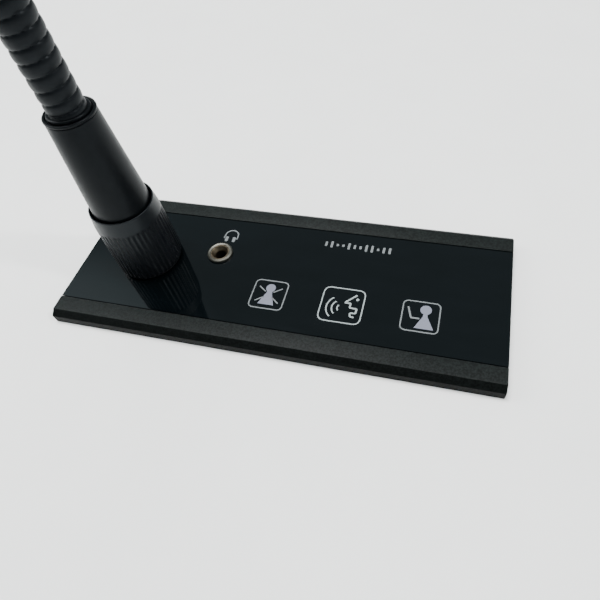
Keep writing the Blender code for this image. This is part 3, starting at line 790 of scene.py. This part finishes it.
def make_skin(index):
    """The skin across one joint, shaped as a bend from the tilt of the body below to that of the body above."""
    joint = joints[NECK_JOINTS[index]]
    centre, tilt_above = centres[index], tilts[index]
    tilt_below = tilts[index - 1] if index else 0.0
    before = after = LINK / 2
    blend_before = blend_after = BLEND
    if index == 0:
        before, blend_before = MOUTH_REACH, BLEND_MOUTH
    if index == 6:
        before, blend_before = FERRULE_REACH, BLEND_FERRULE
    if index in (5, 11):
        after, blend_after = FERRULE_REACH, BLEND_FERRULE
    length_here = (index % 6) * LINK
    points = skin_points(centre, tilt_below, tilt_above, before, after, length_here)
    name = f"neck_skin_{index + 1}"
    mesh = grid_mesh(name, points, sharp_degrees=60)
    node = frame["record"]["behaviour"]["bodies"][joint["child"]][0]
    replaced = [node] if node not in ("stem_tube", "head_coupling") else []
    piece = add_piece(name, mesh, neck_skin, None, replaced)
    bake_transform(piece)
    return len(mesh.polygons)


print("neck skins", sum(make_skin(i) for i in range(len(NECK_JOINTS))), "faces")

# %% [markdown]
# Between the two flexible zones runs a plain stiff tube, with a short ferrule at each end that grips
# the winding. Turning the whole outline as one closed loop gives tube and ferrules in one piece.

# %% Stem
stem_base, stem_tilt = centres[5], tilts[5]
stem_length = float(np.linalg.norm(centres[6] - centres[5])) / MM
stem_profile = rounded([
    (4.85, 1.0, 0.1), (5.15, 1.0, 0.15), (5.15, 8.0, 0.3), (4.6, 8.6, 0.3),
    (4.6, stem_length - 8.6, 0.3), (5.15, stem_length - 8.0, 0.3), (5.15, stem_length - 1.0, 0.15),
    (4.85, stem_length - 1.0, 0.1), (4.85, stem_length - 5.0, 0), (3.9, stem_length - 5.0, 0),
    (3.9, 5.0, 0), (4.85, 5.0, 0),
]) * MM
stem_profile = stem_profile[::-1]
add_piece("stem", turned_mesh("stem", stem_profile, stem_base, stem_tilt), stem_paint, "stem",
          ["stem_tube"])

# %% [markdown]
# The head: a coupling that flares from the neck, a milky light ring that shows when the microphone
# is live, the slim capsule housing, a wire grille, and the foam windscreen that slips over them.
# The foam is a turned cap whose surface is pushed in and out by the mean of many sine waves, which
# stands for its open cells; the finest cells are left to the finish.

# %% Head
add_piece("coupling", turned_mesh("coupling", rounded([
    (4.85, 1.0, 0.1), (5.2, 1.0, 0.15), (5.3, 3.0, 0.8), (5.9, 5.6, 0.8), (5.9, 8.0, 0.2),
    (4.6, 8.0, 0), (4.6, 14.0, 0), (3.9, 14.0, 0), (3.9, 5.0, 0), (4.85, 5.0, 0),
]) * MM, HEAD_CENTRE, HEAD_TILT), satin, "head", ["head_coupling"])
milky = new_material("light_ring", (0.62, 0.64, 0.66), 0.30, 0.0, Subsurface_Weight=0.2)
vary_roughness(milky, noise(milky, 900), 0.22, 0.38)
vary_colour(milky, noise(milky, 300), (0.58, 0.60, 0.62), (0.66, 0.68, 0.70))
add_piece("live_ring", turned_mesh("live_ring", rounded([
    (4.9, 8.1, 0), (6.0, 8.1, 0.2), (6.0, 12.5, 0.2), (4.9, 12.5, 0),
]) * MM, HEAD_CENTRE, HEAD_TILT), milky, "head", ["light_ring"])
add_piece("capsule_tube", turned_mesh("capsule_tube", rounded([
    (5.0, 12.6, 0), (6.1, 12.6, 0.2), (6.1, 40.0, 0.2), (5.0, 40.0, 0),
]) * MM, HEAD_CENTRE, HEAD_TILT), satin, "head", ["capsule_housing"])


# %% Grille and foam
def resampled(profile, spacing):
    """An open outline with points about this far apart along its length."""
    steps = np.linalg.norm(np.diff(profile, axis=0), axis=1)
    length = np.concatenate([[0], np.cumsum(steps)])
    wanted = np.linspace(0, length[-1], max(2, int(length[-1] / spacing)))
    return np.column_stack([np.interp(wanted, length, profile[:, k]) for k in (0, 1)])


def ripple(points, waves, size):
    """A bumpy field: the mean of sine waves that run in evenly spread directions.

    Wave k runs along (cos a, sin a cos b, sin a sin b) with a = 2.4 k and b = 1.1 k."""
    k = np.arange(waves)
    a, b = 2.4 * k, 1.1 * k + 0.3
    along = np.stack([np.cos(a), np.sin(a) * np.cos(b), np.sin(a) * np.sin(b)])
    return np.sin(points @ (along * 2 * np.pi / size) + 1.7 * k).mean(axis=-1)


woven = make_moulded("grille", (0.02, 0.02, 0.021), 0.4, 0.6, 3000)
dome = np.array([(6.1 * math.cos(a), 41.3 + 3.7 * math.sin(a)) for a in np.linspace(0, 1.57, 12)])
inner_dome = (dome - (0, 41.3)) * (0.87, 0.80) + (0, 41.3)
grille_profile = np.concatenate([[(0, 44.26)], inner_dome[::-1][1:], [(5.3, 40.3), (6.1, 40.3)],
                                 dome[:-1], [(0, 45.0)]]) * MM
add_piece("wire_grille", turned_mesh("wire_grille", grille_profile, HEAD_CENTRE, HEAD_TILT,
                                     ring=False), woven, "head", ["grille"])

FOAM_R, FOAM_SHOULDER = 10.45, 42.5
foam_foot = rounded([(6.5, 16.0, 0), (10.2, 16.0, 2.6), (FOAM_R, FOAM_SHOULDER, 0)], closed=False)
foam_dome = [(FOAM_R * math.cos(a), FOAM_SHOULDER + FOAM_R * math.sin(a))
             for a in np.linspace(0, 1.57, 40)]
foam_outside = np.concatenate([foam_foot[:-1], foam_dome[:-1], [(0, FOAM_SHOULDER + FOAM_R)]])
foam_inside = rounded([(0, 45.6, 0), (6.4, 45.0, 2.5), (6.4, 16.0, 0), (6.5, 16.0, 0)],
                      closed=False)
foam_profile = np.concatenate([foam_inside, resampled(foam_outside, 0.35)[1:]]) * MM
CELL_SIZE, CELL_DEPTH = 1.3 * MM, 0.64 * MM
FOAM_MIDDLE = (0, 0, 42 * MM)  # the bumps stand out along the lines from this point
MIDDLE_TO_SKIN = 12 * MM
POLE_FADE = 1.5 * MM  # the bumps die out this close to the axis
foam_grid = turned_points(foam_profile, 160)
bumpy = ripple(foam_grid, 24, CELL_SIZE) * CELL_DEPTH
outer_rows = (np.arange(len(foam_profile)) >= len(foam_inside)).astype(float)
pole_fade = np.clip(foam_profile[:, 0] / POLE_FADE, 0, 1)
lift = 1 + bumpy * (outer_rows * pole_fade)[:, None] / MIDDLE_TO_SKIN
foam_grid = (foam_grid - FOAM_MIDDLE) * lift[..., None] + FOAM_MIDDLE
foam_mesh = grid_mesh("foam_windscreen", place_points(foam_grid, HEAD_CENTRE, HEAD_TILT),
                      wrap_rows=False, sharp_degrees=80)
foam = new_material("foam", (0.008, 0.008, 0.009), 0.95, 0.0, Specular_IOR_Level=0.08)
cells = foam.node_tree.nodes.new("ShaderNodeTexVoronoi")
cells.inputs["Scale"].default_value = 1900
foam.node_tree.links.new(object_coordinates(foam), cells.inputs["Vector"])
vary_colour(foam, cells.outputs["Distance"], (0.013, 0.013, 0.014), (0.003, 0.003, 0.0035), 0.1, 0.8)
add_bump(foam, cells.outputs["Distance"], 0.3 * MM)
add_piece("foam_windscreen", foam_mesh, foam, "foam", ["windscreen"])
print("foam", len(foam_mesh.polygons), "faces")

# %% [markdown]
# The symbols are printed on the panel in pale ink. A line of ink is a flat ribbon along a path, and
# a filled shape is its own outline; both get the thickness of a coat of ink, so that they are real,
# closed shapes. The keys show a person crossed out, a head that speaks, and a person with a
# raised hand; a row of level bars stands behind them, and a pair of headphones behind the jack.

# %% Ink
INK = 0.02 * MM
LINE = 0.37


def ribbon(path, width=LINE, closed=False):
    """A flat strip of ink along a path in mm: each point is moved half the width to both sides."""
    path = np.array(path, float)
    if closed:
        slope = np.roll(path, -1, axis=0) - np.roll(path, 1, axis=0)
    else:
        slope = np.gradient(path, axis=0)
    slope /= np.linalg.norm(slope, axis=1, keepdims=True)
    aside = np.column_stack([-slope[:, 1], slope[:, 0]]) * width / 2
    left, right = (path + aside) * MM, (path - aside) * MM
    rows = [np.column_stack([edge, np.full(len(edge), height)]) for edge, height in
            ((left, PANEL_TOP - INK), (left, PANEL_TOP + INK),
             (right, PANEL_TOP + INK), (right, PANEL_TOP - INK))]
    return grid_mesh("ink", np.stack(rows), True, closed, cap_ends=not closed)


def patch(outline):
    """A filled shape in mm: its outline at two heights, closed below and above."""
    outline = np.array(outline, float) * MM
    levels = [np.column_stack([outline, np.full(len(outline), height)])
              for height in (PANEL_TOP - INK, PANEL_TOP + INK)]
    return grid_mesh("ink", np.stack(levels, axis=1), True, False, cap_ends=True)


def circle(x, y, radius, start=0, end=360, count=32):
    """Points on a circle or an arc, angles in degrees."""
    a = np.radians(np.linspace(start, end, count, endpoint=abs(end - start) < 360))
    return np.column_stack([x + radius * np.cos(a), y + radius * np.sin(a)])


def frame_path(x, y, width, height, radius):
    """A rectangle with round corners, as a closed path."""
    w, h = width / 2, height / 2
    corners = [(x - w, y - h, radius), (x + w, y - h, radius), (x + w, y + h, radius),
               (x - w, y + h, radius)]
    return rounded(corners, steps=8)


def soft_line(*points):
    """A bent line through points in mm, with its corners slightly rounded."""
    return rounded([(x, y, 0.25) for x, y in points], steps=4, closed=False)


def print_ink(name, meshes, material):
    """Join strips and patches into one printed symbol on the panel."""
    work = bmesh.new()
    for mesh in meshes:
        work.from_mesh(mesh)
        bpy.data.meshes.remove(mesh)
    joined = bpy.data.meshes.new(name)
    work.to_mesh(joined)
    work.free()
    add_piece(name, joined, material, "base")


def make_ink(name, colour):
    """Screen-printed ink: matt, with slightly uneven cover."""
    mat = new_material(name, colour, 0.5)
    cover = noise(mat, 2600, detail=4.0)
    vary_colour(mat, cover, tuple(c * 0.86 for c in colour), colour, 0.25, 0.6)
    vary_roughness(mat, cover, 0.42, 0.60)
    return mat


pale_ink = make_ink("pale_ink", (0.135, 0.150, 0.155))
bright_ink = make_ink("bright_ink", (0.27, 0.31, 0.31))
lilac_ink = make_ink("lilac_ink", (0.145, 0.155, 0.200))

# %% The three keys
KEY_Y = -8.2


def figure(x, y, head_radius, neck, shoulder, feet):
    """A person in the plainest form, as one outline: a round head on a skirt.

    The outline runs round the head from neck to neck, then down to both feet."""
    head_y = neck + math.sqrt(head_radius ** 2 - shoulder ** 2)
    open_angle = math.degrees(math.asin(shoulder / head_radius))
    head = circle(0, head_y, head_radius, -90 + open_angle, 270 - open_angle, 28)
    outline = np.concatenate([head, [(-shoulder * 1.15, neck - 0.9), (-feet, -3.7),
                                     (feet, -3.7), (shoulder * 1.15, neck - 0.9)]])
    return patch(outline + (x, y))


x, y = -2.1, KEY_Y
print_ink("key_1_frame", [ribbon(frame_path(x, y, 10.3, 10.3, 1.6), closed=True)], pale_ink)
print_ink("key_1_person", [figure(x, y, 1.5, 1.15, 0.85, 2.5)], lilac_ink)
print_ink("key_1_cross", [
    ribbon([(x + side * 1.25, y + near), (x + side * 3.65, y + far)])
    for side in (-1, 1) for near, far in ((0.95, 2.7), (-0.95, -2.8))
], pale_ink)

x = 20.45
print_ink("key_2_frame", [ribbon(frame_path(x, y, 12.4, 12.0, 2.2), closed=True)], bright_ink)
WAVE_SPREAD = 50  # degrees either way of a wave's middle
waves = [ribbon(circle(x, y - 1.1, radius, 180 - WAVE_SPREAD, 180 + WAVE_SPREAD, 24), 0.42)
         for radius in (1.2, 2.8, 4.4)]
print_ink("key_2_waves", waves, bright_ink)
face = [(3.8, 4.2), (0.6, 1.0), (2.5, 1.0), (2.4, -0.55), (4.55, -0.65), (4.5, -2.25), (2.85, -2.35),
        (3.05, -3.5), (4.25, -3.7)]
print_ink("key_2_speaker", [
    ribbon(soft_line(*[(x + right, y + up) for right, up in face]), 0.5),
    patch(circle(x + 4.2, y + 2.6, 0.45)),
], bright_ink)

x = 43.2
print_ink("key_3_frame", [ribbon(frame_path(x, y, 10.5, 10.2, 1.6), closed=True)], pale_ink)
print_ink("key_3_person", [figure(x + 1.3, y - 0.35, 1.6, 1.3, 0.6, 2.7)], lilac_ink)
print_ink("key_3_hand", [
    ribbon(soft_line((x - 3.8, y + 3.0), (x - 2.6, y - 0.75), (x - 0.2, y - 0.75)), 0.5),
], pale_ink)

# %% Headphones and level bars
x, y = -21.7, 13.1
headband = np.concatenate([[(x + 2.2, y - 1.5)], circle(x, y, 2.2, 0, 180, 24), [(x - 2.2, y - 1.5)]])
print_ink("headphones", [
    ribbon(headband, 0.42),
    patch(frame_path(x - 1.25, y - 1.7, 1.0, 2.1, 0.35)),
    patch(frame_path(x + 1.25, y - 1.7, 1.0, 2.1, 0.35)),
], pale_ink)
BARS = 12
bars = []
for i in range(BARS):
    tall = 0.8 + 1.1 * (1 + math.sin(1.9 * i + 0.6 * math.sin(1.3 * i)))
    bars.append(patch(frame_path(10.4 + 20.4 * i / (BARS - 1), 14.5, 0.75, tall, 0.3)))
print_ink("level_bars", bars, pale_ink)
